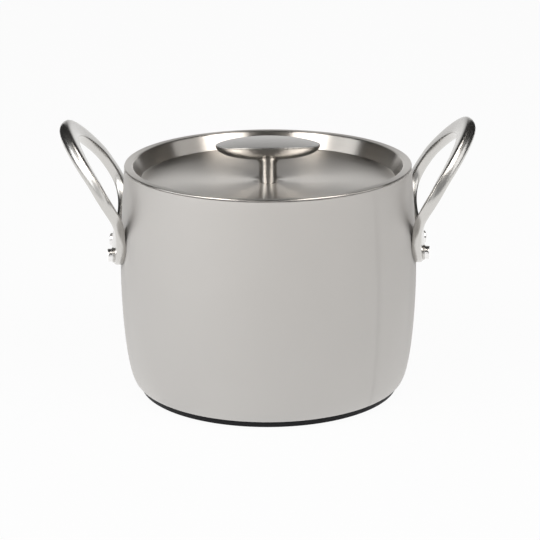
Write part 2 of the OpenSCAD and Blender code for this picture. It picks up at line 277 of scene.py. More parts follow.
rivet_steel = metal_finish(
    "rivet_steel", tones=[(0.7, 0.69, 0.68), (0.76, 0.75, 0.74)], polish=(0.12, 0.22),
    bump_height=0.002 * MM, pattern=fine_scratches)
bright_steel = metal_finish(
    "bright_steel", tones=[(0.62, 0.62, 0.62), (0.7, 0.7, 0.7)], polish=(0.2, 0.34),
    bump_height=0.002 * MM, pattern=fine_scratches)
rolled_aluminium = metal_finish(
    "rolled_aluminium", tones=[(0.7, 0.7, 0.71), (0.78, 0.78, 0.79)], polish=(0.4, 0.55),
    bump_height=0.004 * MM, pattern=ring_streaks)
# Near-black tone: a black coat, and partly painted shade, the shadow under the pot.
black_coat_and_shade = metal_finish(
    "black_coat_and_shade", tones=[(0.012, 0.012, 0.013), (0.03, 0.03, 0.032)], polish=(0.42, 0.6),
    bump_height=0.006 * MM, pattern=ring_streaks, metal=0.0)
# Turned-down mirror level: partly painted shade, for the shadow that the paper under the pot lacks in shiny
# rays.
SHADE_MIRROR_LEVEL = 0.12
black_coat_and_shade.node_tree.nodes["Principled BSDF"].inputs["Specular IOR Level"].default_value = SHADE_MIRROR_LEVEL

# %% [markdown]
# ## The tree that turns an outline
# The pot, its base cap and the lid are round, and a spun or pressed piece follows one rule: an outline
# carried round the axis. Geometry Nodes states that rule once. A flat grid has one column for each outline
# point and one row for each step round, and every grid point is moved to its outline point's distance and
# height at its row's angle. The seam and the poles, where points fall on each other, are merged. The Screw
# modifier could do this too, but the tree can also be put inside another tree, which the rivets use later.

# %% Build the turning tree
def new_tree(name, inputs):
    """Empty geometry tree with named inputs, and its input and output nodes."""
    tree = bpy.data.node_groups.new(name, "GeometryNodeTree")
    tree.is_modifier = True
    for label, kind in inputs:
        tree.interface.new_socket(label, in_out="INPUT", socket_type="NodeSocket" + kind)
    tree.interface.new_socket("Piece", in_out="OUTPUT", socket_type="NodeSocketGeometry")
    return tree, node(tree, "NodeGroupInput").outputs, node(tree, "NodeGroupOutput")


def close_tree(tree, last, shape, finish):
    """Ends a tree: real geometry instead of instances, with its finish."""
    real = node(tree, "GeometryNodeRealizeInstances", {"Geometry": shape}).outputs["Geometry"]
    done = node(tree, "GeometryNodeSetMaterial", {"Geometry": real, "Material": finish})
    tree.links.new(done.outputs["Geometry"], last.inputs["Piece"])


MERGE = 0.001 * MM
turning, given, last = new_tree(
    "turned_piece", [("Outline", "Geometry"), ("Steps round", "Int"), ("Finish", "Material")])
steps = given["Steps round"]
outline_size = node(turning, "GeometryNodeAttributeDomainSize", {"Geometry": given["Outline"]})
count = outline_size.outputs["Point Count"]
length = maths(turning, "SUBTRACT", count, 1.0)
rows = maths(turning, "ADD", steps, 1.0)
grid = node(turning, "GeometryNodeMeshGrid", {
    "Size X": length, "Size Y": steps, "Vertices X": count, "Vertices Y": rows}).outputs["Mesh"]
position = node(turning, "GeometryNodeInputPosition").outputs["Position"]
cell = node(turning, "ShaderNodeSeparateXYZ", {"Vector": position}).outputs
column = maths(turning, "ADD", cell["X"], maths(turning, "MULTIPLY", length, 0.5))
whole = node(turning, "FunctionNodeFloatToInt", {"Float": column}, rounding_mode="ROUND")
place_in_outline = whole.outputs[0]
angle = maths(turning, "MULTIPLY", maths(turning, "DIVIDE", cell["Y"], steps), math.tau)
print("turning tree: grid made")

# %% [markdown]
# A column of the grid becomes an outline point's number and a row becomes an angle. Sample Index then reads
# that outline point, and its distance and the angle give the place.

# %% Move the grid's points to their places
sample = node(turning, "GeometryNodeSampleIndex", {
    "Geometry": given["Outline"], "Index": place_in_outline}, data_type="FLOAT_VECTOR", domain="POINT")
turning.links.new(position, sample.inputs["Value"])
outline_point = node(turning, "ShaderNodeSeparateXYZ", {"Vector": sample.outputs["Value"]}).outputs
x = maths(turning, "MULTIPLY", outline_point["X"], maths(turning, "COSINE", angle))
y = maths(turning, "MULTIPLY", outline_point["X"], maths(turning, "SINE", angle))
target = node(turning, "ShaderNodeCombineXYZ", {"X": x, "Y": y, "Z": outline_point["Z"]}).outputs["Vector"]
moved = node(turning, "GeometryNodeSetPosition", {"Geometry": grid, "Position": target}).outputs["Geometry"]
merged = node(turning, "GeometryNodeMergeByDistance", {"Geometry": moved, "Distance": MERGE})
smooth = node(turning, "GeometryNodeSetShadeSmooth", {"Geometry": merged.outputs["Geometry"]})
close_tree(turning, last, smooth.outputs["Geometry"], given["Finish"])
print("turning tree:", len(turning.nodes), "nodes")

# %% [markdown]
# A tree only works on an object, so a helper draws the outline as a row of edges, hangs the tree on it,
# sets the tree's inputs by their identifiers and keeps the result as a plain mesh. Its normals are then
# turned outwards.

# %% Helper that runs a tree on an outline
def plain_mesh(piece):
    """Swaps an object's live modifiers for the plain mesh that they make, with its faces turned outwards."""
    evaluated = piece.evaluated_get(bpy.context.evaluated_depsgraph_get())
    mesh = bpy.data.meshes.new_from_object(evaluated)
    piece.modifiers.clear()
    piece.data = mesh
    shape = bmesh.new()
    shape.from_mesh(mesh)
    bmesh.ops.recalc_face_normals(shape, faces=shape.faces)
    shape.to_mesh(mesh)
    open_edges = sum(not edge.is_manifold for edge in shape.edges)
    shape.free()
    print(piece.name, len(mesh.polygons), "faces,", open_edges, "open edges")
    return piece


def new_piece(name, points, edges=(), faces=()):
    """Mesh object at the origin, with its place in its points."""
    mesh = bpy.data.meshes.new(name)
    mesh.from_pydata([tuple(point) for point in points], list(edges), list(faces))
    piece = bpy.data.objects.new(name, mesh)
    bpy.context.scene.collection.objects.link(piece)
    return piece


def run_tree(name, tree, outline, values):
    """Piece made by a tree from an outline of (r, z) points."""
    piece = new_piece(name, [(r, 0, z) for r, z in outline], [(i, i + 1) for i in range(len(outline) - 1)])
    modifier = piece.modifiers.new(tree.name, "NODES")
    modifier.node_group = tree
    for socket in tree.interface.items_tree:
        if socket.in_out == "INPUT" and socket.name in values:
            modifier[socket.identifier] = values[socket.name]
    return plain_mesh(piece)


print("outline helpers ready")

# %% [markdown]
# ## The pot
# The pot is one deep drawn sheet: a flat floor, a wall that swells to a belly and draws in again to the
# lip, and no separate rim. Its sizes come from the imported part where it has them. The same two curves that
# shape the CAD solid are drawn here with more points, and the lip's edges get the small radius that a
# trimmed and deburred sheet has. The lip also draws in a little under the lid's flange, which leaves a dark
# line below the rim.

# %% The curves of the wall
rim_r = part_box("lid_pan")[1].x
belly_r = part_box("pot_body")[1].x
lip_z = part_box("pot_body")[1].z
base_r, _, base_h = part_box("base_plate")[1]
wall_t = 1.5 * MM
floor_t = 1.5 * MM
belly_z = 80 * MM
belly_pull = 16 * MM
lip_slope = math.radians(4.3)
sole_r = rim_r - 6.4 * MM
sole_slope = math.radians(22.8)
sole_pull = 9.1 * MM


def low_wall(edge, inset, t):
    """Lower wall, from its bottom edge (r, z) up to the belly, set in from the outside."""
    first_pull = (edge[0] + sole_pull * math.cos(sole_slope), edge[1] + sole_pull * math.sin(sole_slope))
    side = belly_r - inset
    return cubic(edge, first_pull, (side, belly_z - belly_pull), (side, belly_z), t)


def high_wall_r(z):
    """Outer radius of the wall between the belly and the lip."""
    t = (np.atleast_1d(z) - belly_z) / (lip_z - belly_z)
    pull = rim_r + math.tan(lip_slope) * (lip_z - belly_z) / 3
    return cubic([belly_r], [belly_r], [pull], [rim_r], t)[:, 0]


print("wall 10 mm below the lip:", high_wall_r(lip_z - 10 * MM)[0])

# %% [markdown]
# The outline is one closed line: under the sole, up the outside, over the lip, down the inside and in along
# the floor. The points crowd where the wall turns into the sole, because a bend needs more of them than a
# straight stretch.

# %% Turn the pot
LOW_STEPS, HIGH_STEPS, ROLL_STEPS, ROUND_STEPS = 36, 24, 9, 240
CORNER_CROWDING = 1.5
roll_h, roll_in, lip_drop = 5 * MM, 0.4 * MM, 0.15 * MM
lip_edge, deburr = 0.15 * MM, 0.08 * MM
held_sole, held_floor = 0.4 * MM, 0.6 * MM
floor_z = base_h + floor_t


def wall_side(edge, inset):
    low = low_wall(edge, inset, np.linspace(0, 1, LOW_STEPS) ** CORNER_CROWDING)
    heights = np.linspace(belly_z, lip_z - roll_h, HIGH_STEPS)[1:]
    return [tuple(p) for p in low] + [(r - inset, z) for r, z in zip(high_wall_r(heights), heights)]


outside = wall_side((sole_r, base_h), 0)
inside = wall_side((sole_r - wall_t, floor_z), wall_t)[::-1]
roll_share = np.linspace(0, 1, ROLL_STEPS)[1:-1]
roll_z = lip_z - roll_h + (roll_h - lip_drop) * roll_share
roll = list(zip(high_wall_r(roll_z) - roll_in * roll_share ** 2, roll_z))
lip = rounded([
    (*roll[-1], 0), (rim_r - roll_in, lip_z - lip_drop, lip_edge),
    (rim_r - wall_t + lip_edge, lip_z, deburr), (rim_r - wall_t, lip_z - lip_edge, deburr), (*inside[0], 0)])
sole = [(0, base_h), (base_r, base_h), (sole_r - held_sole, base_h)]
pot_floor = [(inside[-1][0] - held_floor, floor_z), (0, floor_z)]
pot_shell = run_tree("pot_shell", turning, sole + outside + roll + lip[1:-1] + inside + pot_floor, {
    "Steps round": ROUND_STEPS, "Finish": blasted_steel})
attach(pot_shell, "pot")
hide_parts("pot_body")

# %% [markdown]
# The finish has to know which side is the inside. Each point whose distance from the axis fits the inner
# wall, and that lies above the floor sheet's middle, gets the value 1 in the attribute, and all others get
# 0.

# %% Mark the inside of the pot
NEAR_INNER = wall_t / 20
points = np.array([vertex.co for vertex in pot_shell.data.vertices])
heights = points[:, 2]
reach = np.hypot(points[:, 0], points[:, 1])
inner_wall_r = np.interp(heights, [z for r, z in inside[::-1]], [r for r, z in inside[::-1]])
inside_share = (reach < inner_wall_r + NEAR_INNER) & (heights > base_h + floor_t / 2)
attribute = pot_shell.data.attributes.new("inside", "FLOAT", "POINT")
attribute.data.foreach_set("value", inside_share.astype(np.float32))
print("points inside the pot:", int(inside_share.sum()), "of", len(points))

# %% [markdown]
# ## The base cap
# Under the floor sits a sandwich base: an aluminium disc inside a dark steel cap. Only the cap's edge
# shows, as a dark band that lifts the pot's crisp lower edge off the table. The band's near-black tone is
# partly painted shade, the shadow under the pot. It is turned like the pot, with its foot rounded.

# %% Turn the base cap
cap_t = 0.8 * MM
foot_edge, cap_edge, cap_bend = 0.6 * MM, 0.15 * MM, 0.3 * MM
cap_outline = rounded([
    (0, 0, 0), (base_r, 0, foot_edge), (base_r, base_h, cap_edge), (base_r - cap_t, base_h, cap_edge),
    (base_r - cap_t, cap_t, cap_bend), (0, cap_t, 0)])
base_cap = run_tree("base_cap", turning, cap_outline, {"Steps round": ROUND_STEPS, "Finish": black_coat_and_shade})
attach(base_cap, "pot")
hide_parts("base_plate")

# %% [markdown]
# ## The lid
# The lid is pressed from one sheet: a flat flange that rests over the lip, a steep conical wall and a sunk
# floor that dips a little towards the knob's seat. Its bends and its rim are rounded, as those of pressed
# sheet are. Its outline is closed round the screw's hole, which the knob and the washer hide.

# %% Turn the lid
lid_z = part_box("lid_pan")[1].z
lid_gap = 0.5 * MM
lid_bottom = lip_z + lid_gap
lid_t = lid_z - lid_bottom
flange_r = rim_r - 5.8 * MM
lid_floor_r = flange_r - 5.4 * MM
lid_floor_z = lid_z - 10.9 * MM
seat_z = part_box("lid_knob")[0].z
seat_r = 17 * MM
hole_r = 2.65 * MM
corner = lid_t * math.tan(math.atan2(lid_z - lid_floor_z, flange_r - lid_floor_r) / 2)
edge_r, under_r = 0.65 * MM, 0.1 * MM
dish_bend, floor_bend, flange_bend = 150 * MM, 0.5 * MM, 1.5 * MM
under_flange_bend, under_floor_bend = 0.3 * MM, 2.5 * MM
lid_outline = rounded([
    (hole_r, seat_z, 0), (seat_r, seat_z, dish_bend), (lid_floor_r, lid_floor_z, floor_bend),
    (flange_r, lid_z, flange_bend), (rim_r, lid_z, edge_r), (rim_r, lid_bottom, under_r),
    (flange_r + corner, lid_bottom, under_flange_bend),
    (lid_floor_r + corner, lid_floor_z - lid_t, under_floor_bend),
    (seat_r, seat_z - lid_t, dish_bend), (hole_r, seat_z - lid_t, 0)])
lid_shell = run_tree("lid_shell", turning, lid_outline + lid_outline[:1], {
    "Steps round": ROUND_STEPS, "Finish": ring_brushed_steel})
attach(lid_shell, "lid")
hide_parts("lid_pan")

# %% [markdown]
# ## The rivets
# Two rivets hold each handle. A rivet is a turned piece too, with its axis pointing out of the wall, so a
# second tree holds the turning tree, sets its result on one point for each rivet and turns it to the wall's
# direction there. The same tree later sets the casting's two raised seats under the rivet heads.

# %% Build the tree that repeats a turned piece on the rivet axes
riveting, given, last = new_tree("on_rivet_axes", [
    ("Outline", "Geometry"), ("Steps round", "Int"), ("Finish", "Material"), ("Count", "Int"),
    ("Angle between", "Float"), ("Middle angle", "Float"), ("Height", "Float")])
one = node(riveting, "GeometryNodeGroup", node_tree=turning)
for label in ("Outline", "Steps round", "Finish"):
    riveting.links.new(given[label], one.inputs[label])
spot = node(riveting, "ShaderNodeCombineXYZ", {"Z": given["Height"]}).outputs["Vector"]
spots = node(riveting, "GeometryNodePoints", {"Count": given["Count"], "Position": spot}).outputs["Points"]
number = node(riveting, "GeometryNodeInputIndex").outputs["Index"]
middle = maths(riveting, "MULTIPLY", maths(riveting, "SUBTRACT", given["Count"], 1.0), 0.5)
swing = maths(riveting, "MULTIPLY", maths(riveting, "SUBTRACT", number, middle), given["Angle between"])
heading = maths(riveting, "ADD", swing, given["Middle angle"])
turn = node(riveting, "ShaderNodeCombineXYZ", {"Y": math.pi / 2, "Z": heading}).outputs["Vector"]
rotation = node(riveting, "FunctionNodeEulerToRotation", {"Euler": turn}).outputs["Rotation"]
copies = node(riveting, "GeometryNodeInstanceOnPoints", {
    "Points": spots, "Instance": one.outputs["Piece"], "Rotation": rotation}).outputs["Instances"]
close_tree(riveting, last, copies, given["Finish"])
print("riveting tree:", len(riveting.nodes), "nodes")

# %% [markdown]
# A rivet's outline is read along its own axis, so its heights are distances from the pot's axis: the inner
# head, the shank through the wall and the plate, and the button head on the casting's seat.

# %% Set both pairs of rivets
handle_z = 93.5 * MM
plate_gap = 0.15 * MM
plate_t = 6.1 * MM
boss_h = 0.6 * MM
rivet_z = handle_z + 8 * MM
rivet_wall_r = high_wall_r(rivet_z)[0]
boss_r = rivet_wall_r + plate_gap + plate_t + boss_h
rivet_spacing = 38.6 * MM
rivet_turn = 2 * math.asin(rivet_spacing / 2 / boss_r)
shank_r, head_r, head_h = 2.5 * MM, 4.65 * MM, 3.2 * MM
inner_r, inner_h = 5.5 * MM, 1.4 * MM
inner_gap = 0.35 * MM
inner_seat = rivet_wall_r - wall_t - inner_gap
fine_edge, head_edge, crown_edge, inner_edge = 0.1 * MM, 0.15 * MM, 0.6 * MM, 0.9 * MM
RIVET_STEPS = 48
SIDES = {"right": 0.0, "left": math.pi}
rivet_outline = rounded([
    (0, inner_seat - inner_h, 0), (inner_r, inner_seat - inner_h, inner_edge),
    (inner_r, inner_seat, fine_edge), (shank_r, inner_seat, fine_edge), (shank_r, boss_r, fine_edge),
    (head_r, boss_r, head_edge), (head_r, boss_r + head_h, crown_edge), (0, boss_r + head_h, 0)])


def on_rivet_axes(name, side, outline, finish):
    return run_tree(name, riveting, outline, {
        "Steps round": RIVET_STEPS, "Finish": finish, "Count": 2, "Angle between": rivet_turn,
        "Middle angle": SIDES[side], "Height": rivet_z})


for side in SIDES:
    pair = on_rivet_axes(side + "_rivet_pair", side, rivet_outline, rivet_steel)
    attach(pair, "pot")
    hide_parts(side + "_rivets")

# %% [markdown]
# ## The handles
# A handle is one casting: a foot plate that hugs the wall, and a loop that bends away and leans outwards.
# It is drawn flat first, as an outer and an inner outline of widths and lengths, and then laid on a strip.
# The strip follows the wall on the plate, bends through an arc and runs on straight, while its roundness in
# plan eases from the wall's own to a flatter one. A free-form sculpt would be quicker, but this keeps the
# casting equal to the CAD solid.

# %% The strip under the casting
bend_start = 13 * MM
bend_r = 99 * MM
lean = math.radians(32.4)
loop_round = 0.24
round_len = 52 * MM
bend_z = handle_z + bend_start
bend_x = high_wall_r(bend_z)[0] + plate_gap


def wall_slope(z, step=0.5 * MM):
    return np.arctan((high_wall_r(z + step) - high_wall_r(z - step)) / (2 * step))


bend_from = wall_slope(np.array([bend_z]))[0]
bend_len = bend_r * (lean - bend_from)


def face_line(h):
    """Distance from the axis, height and slope of the strip's middle line at the lengths h."""
    flat_h = np.minimum(h, bend_start)
    turn = bend_from + np.clip(h - bend_start, 0, bend_len) / bend_r
    rest = np.maximum(h - bend_start - bend_len, 0)
    bent_x = bend_x + bend_r * (math.cos(bend_from) - np.cos(turn)) + rest * np.sin(turn)
    bent_z = bend_z + bend_r * (np.sin(turn) - math.sin(bend_from)) + rest * np.cos(turn)
    on_wall = h <= bend_start
    wall_z = handle_z + flat_h
    return (np.where(on_wall, high_wall_r(wall_z) + plate_gap, bent_x), np.where(on_wall, wall_z, bent_z),
            np.where(on_wall, wall_slope(wall_z), turn))


def ease(share):
    """A change from 0 to 1 that starts and ends gently."""
    u = np.clip(share, 0, 1)
    return u * u * (3 - 2 * u)


def face_point(w, h, depth):
    """Points of the casting at the widths w and lengths h of the strip, and at a depth behind it."""
    x, z, slope = face_line(h)
    flatter = 1 + (loop_round - 1) * ease((h - bend_start) / round_len)
    plan_r = face_line(np.minimum(h, bend_start))[0] / flatter
    turn = np.arcsin(w / plan_r)
    return np.stack([x - plan_r * (1 - np.cos(turn)) + depth * np.cos(slope) * np.cos(turn),
                     w + depth * np.sin(turn), z - depth * np.sin(slope)], axis=-1)


print("the bend is", round(bend_len / MM, 1), "mm long")

# %% [markdown]
# The outlines run from the top of the loop down one side to the middle of the plate. Both are cubic curves,
# and the plate's lower corner is a quarter of an ellipse. A place from 0 to 1 lies on the bow, 1 to 2 on
# the leg and 2 to 3 on the foot plate.

# %% The flat outlines of half a handle
loop_r, loop_len = 52 * MM, 108.8 * MM
wide_len = 55 * MM
leg_w, bow_w = 9.1 * MM, 14.4 * MM
eye_r, eye_len, eye_z = loop_r - leg_w, loop_len - bow_w, 20.5 * MM
plate_r = 32.3 * MM
corner_w, corner_h = 18.4 * MM, 17.9 * MM
BOW_PULL, SHOULDER_PULL = 0.5, 0.42
LEG_PULL, PLATE_PULL = 0.54, 0.4
EYE_SIDE_PULL, EYE_FOOT_PULL = 0.4, 0.58
CORNER_SHARE, EYE_SHARE = 0.6, 0.75


def bow(r, top, t):
    shoulder = wide_len + SHOULDER_PULL * (top - wide_len)
    return cubic((0, top), (BOW_PULL * r, top), (r, shoulder), (r, wide_len), t)


def plate_corner(t):
    a = math.pi / 2 * np.minimum(t / CORNER_SHARE, 1)
    flat = np.maximum(t - CORNER_SHARE, 0) / (1 - CORNER_SHARE)
    width = (plate_r - corner_w + corner_w * np.cos(a)) * (1 - flat)
    return np.stack([width, corner_h * (1 - np.sin(a))], axis=-1)


def outer_outline(bow_t, leg_t, foot_t):
    drop = wide_len - corner_h
    leg = cubic((loop_r, wide_len), (loop_r, wide_len - LEG_PULL * drop),
                (plate_r, corner_h + PLATE_PULL * drop), (plate_r, corner_h), leg_t)
    return np.concatenate([bow(loop_r, loop_len, bow_t), leg, plate_corner(foot_t)])


def inner_outline(bow_t, leg_t, foot_t):
    t = np.concatenate([leg_t * EYE_SHARE, EYE_SHARE + foot_t * (1 - EYE_SHARE)])
    leg = cubic((eye_r, wide_len), (eye_r, wide_len - EYE_SIDE_PULL * (wide_len - eye_z)),
                (EYE_FOOT_PULL * eye_r, eye_z), (0, eye_z), t)
    return np.concatenate([bow(eye_r, eye_len, bow_t), leg])


print("loop", 2 * loop_r / MM, "mm wide, opening", 2 * eye_r / MM, "mm wide")

# %% [markdown]
# Across the casting the section has a flat face on the pot's side, with edges that roll over, and a full
# round back. Towards the plate the roll fades, the back grows squarer and thinner, and the two meet in a
# crisper line, which a Bevel modifier softens by the width that hand polishing leaves. Each change is eased
# in and out, because a sudden one would show as a step in the reflections.

# %% The section and its skin
BOW_STEPS, LEG_STEPS, FOOT_STEPS = 60, 56, 60
FACE_PARTS, BACK_PARTS = 20, 30
FACE_SQUARE, BACK_SQUARE, PLATE_SQUARE = 3, 2, 5
bow_depth, leg_depth = 10.4 * MM, 8 * MM
leg_crown, bow_crown = 1 * MM, 3.8 * MM


def casting_half(side):
    """Rings of points from the top of the loop down one side to the middle of the plate."""
    bow_t = np.linspace(0, 1, BOW_STEPS, endpoint=False)
    leg_t = np.linspace(0, 1, LEG_STEPS, endpoint=False)
    foot_t = np.linspace(0, 1, FOOT_STEPS + 1)
    outer, inner = outer_outline(bow_t, leg_t, foot_t), inner_outline(bow_t, leg_t, foot_t)
    ones = np.ones_like(foot_t)
    bow_share = ease(np.concatenate([bow_t, np.ones_like(leg_t), ones]))[:, None]
    foot_share = ease(np.concatenate([np.zeros_like(bow_t), leg_t, ones]))[:, None]
    depth = bow_depth - (bow_depth - leg_depth) * bow_share - (leg_depth - plate_t) * foot_share
    square = BACK_SQUARE + (PLATE_SQUARE - BACK_SQUARE) * foot_share
    face = (1 - np.cos(math.pi * np.arange(FACE_PARTS + 1) / FACE_PARTS)) / 2
    back = (1 + np.cos(math.pi * np.arange(1, BACK_PARTS) / BACK_PARTS)) / 2
    extra = (bow_crown - leg_crown) * (1 - bow_share)
    face_roll = (leg_crown + extra * face) * (1 - foot_share)
    back_roll = (leg_crown + extra * back) * (1 - foot_share)
    face_depth = face_roll * (1 - (1 - np.abs(2 * face - 1) ** FACE_SQUARE) ** (1 / FACE_SQUARE))
    back_depth = back_roll + (depth - back_roll) * (1 - np.abs(2 * back - 1) ** square) ** (1 / square)
    across = np.concatenate([face, back])[None, :, None]
    flat = inner[:, None, :] + (outer - inner)[:, None, :] * across
    return face_point(side * flat[..., 0], flat[..., 1], np.concatenate([face_depth, back_depth], axis=1))


rings = np.concatenate([casting_half(1), casting_half(-1)[-2:0:-1]])
print("casting:", rings.shape[0], "rings of", rings.shape[1], "points")

# %% [markdown]
# The Bevel modifier can work on chosen edges only. Each edge has a bevel weight, and a small function says
# for the two ends of an edge whether it is one of the crisp ones.

# %% Helper that softens crisp edges
def soften(piece, width, is_crisp, segments=3):
    """Bevels the edges that is_crisp(first point, second point) names."""
    weights = piece.data.attributes.new("bevel_weight_edge", "FLOAT", "EDGE")
    weights.data.foreach_set("value", [float(is_crisp(*edge.vertices)) for edge in piece.data.edges])
    bevel = piece.modifiers.new("soft_edge", "BEVEL")
    bevel.limit_method = "WEIGHT"
    bevel.width = width
    bevel.segments = segments
    return piece


def ring_skin(rows, columns):
    """Faces of a skin over rings that follow each other round a loop."""
    return [(i * columns + k, (i + 1) % rows * columns + k, (i + 1) % rows * columns + (k + 1) % columns,
             i * columns + (k + 1) % columns) for i in range(rows) for k in range(columns)]


print("edge helper ready")

# %% [markdown]
# The left casting is the right one mirrored in X, so its faces are turned outwards again afterwards. The
# raised seats under the rivet heads are joined on with a Boolean, and the edges where they meet the plate
# stay sharp by their angle.

# %% Cast both handles
row_count, ring_size = rings.shape[:2]
polish_w = 0.3 * MM
CREASE = math.radians(35)
rivet_seat_r, rivet_seat_edge = 5.25 * MM, 0.25 * MM
rivet_seat_foot = boss_r - boss_h - plate_t / 2
seat_outline = rounded([
    (0, rivet_seat_foot, 0), (rivet_seat_r, rivet_seat_foot, 0), (rivet_seat_r, boss_r, rivet_seat_edge),
    (0, boss_r, 0)])


def on_edge_line(a, b):
    return a % ring_size == b % ring_size and a % ring_size in (0, FACE_PARTS)


for side, heading in SIDES.items():
    points = rings.reshape(-1, 3) * (1 if side == "right" else -1, 1, 1)
    casting = new_piece(side + "_casting", points, faces=ring_skin(row_count, ring_size))
    casting.data.materials.append(cast_polished_steel)
    plain_mesh(soften(casting, polish_w, on_edge_line))
    seats = on_rivet_axes(side + "_seats", side, seat_outline, cast_polished_steel)
    union = casting.modifiers.new("rivet_seats", "BOOLEAN")
    union.operation = "UNION"
    union.solver = "EXACT"
    union.object = seats
    plain_mesh(casting)
    bpy.data.objects.remove(seats)
    casting.data.shade_smooth()
    casting.data.set_sharp_from_angle(angle=CREASE)
    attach(casting, "pot")
    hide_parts(side + "_handle")

# %% [markdown]
# ## The knob
# The knob is a casting like the letter T: a squarish post that flows through a fillet into a shallow oval
# bowl with a domed top. Seen from above, its radius changes with the direction, so the skin is a set of
# side profiles round the axis. The crisp line between bowl and dome, and the foot's edge, are softened as
# on the handles.

# %% The side profiles of the knob
knob_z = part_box("lid_knob")[1].z
knob_half = np.array([36.5, 18.5]) * MM
post_half = np.array([6.45, 12.0]) * MM
POST_SQUARE = 2.5
dome_r, bowl_t, fillet = 230 * MM, 12.9 * MM, 3.6 * MM
KNOB_TURNS, POST_STEPS, BOWL_STEPS, DOME_STEPS = 192, 12, 33, 20
heading = np.arange(KNOB_TURNS)[:, None] * math.tau / KNOB_TURNS
facing = np.concatenate([np.abs(np.cos(heading)), np.abs(np.sin(heading))], axis=1)
oval = 1 / np.linalg.norm(facing / knob_half, axis=1)[:, None]
post = np.sum((facing / post_half) ** POST_SQUARE, axis=1)[:, None] ** (-1 / POST_SQUARE)


def dome_z(r):
    return knob_z - r ** 2 / (2 * dome_r)


def bowl_z(r):
    return dome_z(r) - bowl_t * np.sqrt(np.maximum(0, 1 - (r / oval) ** 2))


t = np.linspace(0, 1, POST_STEPS, endpoint=False)
fillet_z = bowl_z(post + fillet) - fillet
quarter = math.pi / 2 * t
bowl_r = post + fillet + (oval - post - fillet) * np.sin(math.pi / 2 * np.linspace(0, 1, BOWL_STEPS))
dome_profile = oval * (1 - np.linspace(0, 1, DOME_STEPS, endpoint=False)[1:])
knob_r = np.concatenate([post + 0 * t, post + fillet * (1 - np.cos(quarter)), bowl_r, dome_profile], axis=1)
knob_heights = np.concatenate([
    seat_z + (fillet_z - seat_z) * t, fillet_z + fillet * np.sin(quarter), bowl_z(bowl_r),
    dome_z(dome_profile)], axis=1)
edge_row = 2 * len(t) + bowl_r.shape[1] - 1
print("knob:", knob_r.shape[0], "profiles of", knob_r.shape[1], "points, crisp edge in row", edge_row)

# %% [markdown]
# The profiles become one skin, with a fan of triangles round a point in the middle of the foot and another
# round the middle of the dome.

# %% Cast the knob
profile_size = knob_r.shape[1]
skin_points = np.stack([knob_r * np.cos(heading), knob_r * np.sin(heading), knob_heights], axis=-1)
skin_points = skin_points.reshape(-1, 3)
foot_point, top_point = len(skin_points), len(skin_points) + 1
skin_faces = [face for face in ring_skin(KNOB_TURNS, profile_size) if abs(face[0] - face[3]) == 1]
for i in range(KNOB_TURNS):
    here, there = i * profile_size, (i + 1) % KNOB_TURNS * profile_size
    skin_faces.append((foot_point, there, here))
    skin_faces.append((top_point, here + profile_size - 1, there + profile_size - 1))


def on_knob_edge(a, b):
    rows = {a % profile_size, b % profile_size}
    return max(a, b) < foot_point and len(rows) == 1 and rows <= {0, edge_row}


knob = new_piece("knob", [*skin_points, (0, 0, seat_z), (0, 0, knob_z)], faces=skin_faces)
knob.data.materials.append(long_brushed_steel)
plain_mesh(soften(knob, polish_w, on_knob_edge))
knob.data.shade_smooth()
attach(knob, "lid")
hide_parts("lid_knob")

# %% [markdown]
# ## Parts that stay as they are
# The screw and washer under the lid, and the core inside the base, already have their true shapes in the
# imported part. They keep their meshes and only take their finishes.

# %% Finish the carried-over parts
carried_over = {"knob_screw": bright_steel, "knob_washer": bright_steel, "base_core": rolled_aluminium}
for name, finish in carried_over.items():
    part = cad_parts[name]
    part.data.materials.clear()
    part.data.materials.append(finish)
    print(name, "takes", finish.name)

# %% [markdown]
# ## Camera
# The object was seen with a long lens from a little above its lip, almost square on. A long lens keeps the
# lid's ellipse flat and the two sides of the pot parallel.

# %% Set the camera
LENS, FILM_WIDTH = 148, 36
FAR_LIMIT = 50
camera_back, camera_up, camera_aside = 1.5, 0.5437, 1.07 * MM
camera = bpy.data.objects.new("camera", bpy.data.cameras.new("camera"))
camera.data.lens = LENS
camera.data.sensor_width = FILM_WIDTH
bpy.context.scene.collection.objects.link(camera)
bpy.context.scene.camera = camera
yaw, pitch, roll = math.radians(-0.75), math.radians(17.05), math.radians(-0.29)
swing = Matrix.Rotation(yaw, 4, "Z")
turn = swing @ Matrix.Rotation(math.pi / 2 - pitch, 4, "X") @ Matrix.Rotation(roll, 4, "Z")
stand = swing @ Vector((0, -camera_back, camera_up))
aside = turn.to_3x3() @ Vector((camera_aside, 0, 0))
camera.matrix_world = Matrix.Translation(stand + aside) @ turn
camera.data.clip_end = FAR_LIMIT
print("camera at", [round(v, 4) for v in camera.matrix_world.translation])

# %% [markdown]
# ## The studio
# Metal shows its surroundings, so the studio matters as much as the finish. The object stands on a sheet of
# white paper in front of white. Plain white all round would leave polished steel flat and pale, which is
# why photographers put grey and black cards round it. First comes the white: the world is as bright as
# white for rays that look at it, straight or by way of a shiny surface, and gives a plainer level of light
# to everything else.

# %% White surroundings
AMBIENT = 0.4
scene = bpy.context.scene
scene.view_settings.view_transform = "Standard"


def looked_at(tree):
    """1 for a ray that shows what it meets: from the camera, or mirrored or let through by a surface."""
    ray = node(tree, "ShaderNodeLightPath").outputs
    mirrored = maths(tree, "MAXIMUM", ray["Is Glossy Ray"], ray["Is Transmission Ray"])
    return maths(tree, "MAXIMUM", ray["Is Camera Ray"], mirrored)


world = bpy.data.worlds.new("studio")
scene.world = world
world.use_nodes = True
sky = world.node_tree.nodes["Background"]
sky.inputs["Color"].default_value = (1, 1, 1, 1)
level = span(world.node_tree, looked_at(world.node_tree), 0, 1, AMBIENT, 1)
world.node_tree.links.new(level, sky.inputs["Strength"])
print("world: white to look at, light", AMBIENT)

# %% [markdown]
# The paper mixes two shaders: a matt one, which catches the object's shadow, and a glow for the rays that
# look at it. Shiny surfaces see the glow a little brighter, as paper is where lamps in front of the picture
# light it.

